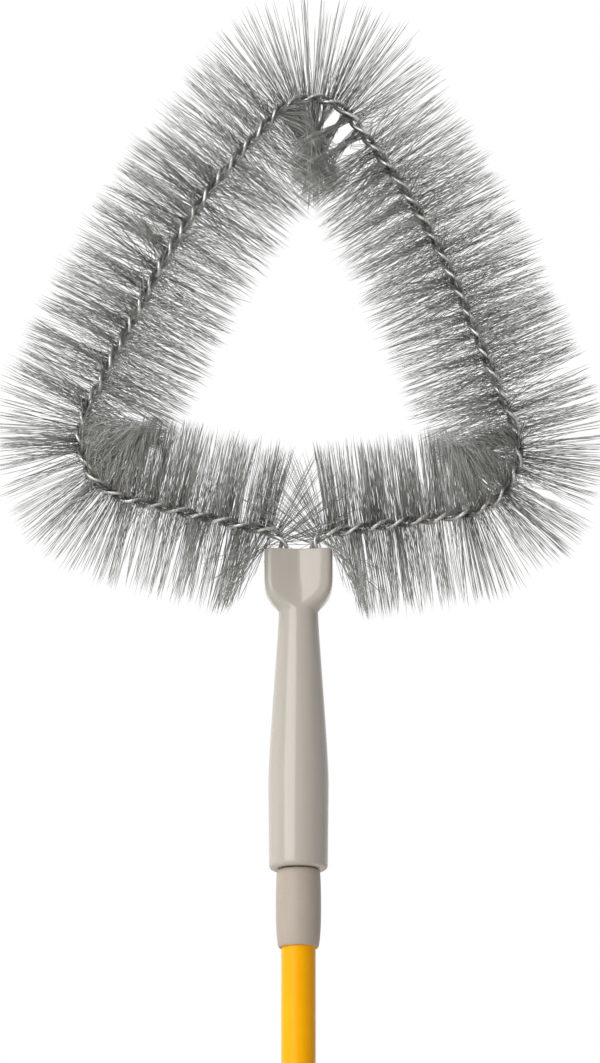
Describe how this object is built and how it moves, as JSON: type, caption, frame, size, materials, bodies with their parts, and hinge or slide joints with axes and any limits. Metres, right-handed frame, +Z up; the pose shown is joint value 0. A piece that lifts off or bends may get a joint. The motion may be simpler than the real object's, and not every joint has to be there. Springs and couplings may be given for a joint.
{
  "type": "telescopic duster",
  "caption": "Triangular loop duster with grey bristles in a twisted wire, on a screw-on plastic socket and a telescopic painted steel pole with a twist lock.",
  "frame": {"origin": "middle of the flat foot of the end cap, on the pole's axis", "axes": "+Z up along the pole to the brush head, +X to the right across the loop as pictured, +Y away from the viewer"},
  "size_m": [0.3465, 0.076, 1.3778],
  "materials": {
    "taupe_plastic": "smooth glossy taupe moulding",
    "taupe_tip": "satin taupe moulding",
    "yellow_paint": "glossy orange-yellow enamel on thin steel tube",
    "steel_wire": "bright galvanised drawn wire",
    "bristle": "fine grey synthetic filament",
    "nylon": "natural nylon",
    "grip": "fine-grained taupe moulding"
  },
  "bodies": {
    "outer_pole": {"outer_tube": "yellow_paint", "end_cap": "taupe_plastic", "grip_sleeve": "grip", "lock_collet": "nylon"},
    "lock_ring": {"slip_ring": "nylon"},
    "twist_nut": {"lock_nut": "taupe_plastic"},
    "inner_pole": {"inner_tube": "yellow_paint", "stop_bush": "nylon", "pole_tip": "taupe_tip"},
    "brush_head": {"head_socket": "taupe_plastic", "wire_plug": "nylon", "core_wire_a": "steel_wire", "core_wire_b": "steel_wire", "bristles_base_left": "bristle", "bristles_corner_left": "bristle", "bristles_side_left": "bristle", "bristles_corner_top": "bristle", "bristles_side_right": "bristle", "bristles_corner_right": "bristle", "bristles_base_right": "bristle"}
  },
  "joints": [
    {"name": "pole_extend", "type": "slide", "parent": "outer_pole", "child": "inner_pole", "axis": [0, 0, 1], "range_m": [-0.093, 0.427]},
    {"name": "lock_lift", "type": "slide", "parent": "outer_pole", "child": "lock_ring", "axis": [0, 0, 1], "range_m": [0, 0.00134]},
    {"name": "lock_twist", "type": "hinge", "parent": "lock_ring", "child": "twist_nut", "pos_m": [0, 0, 0.7], "axis": [0, 0, 1], "range_deg": [0, 120]},
    {"name": "head_off", "type": "slide", "parent": "inner_pole", "child": "brush_head", "axis": [0, 0, 1], "range_m": [0, 0.05]}
  ],
  "couplings": [
    {"joint": "lock_lift", "follows": "lock_twist", "m_per_rad": 0.00063662}
  ]
}
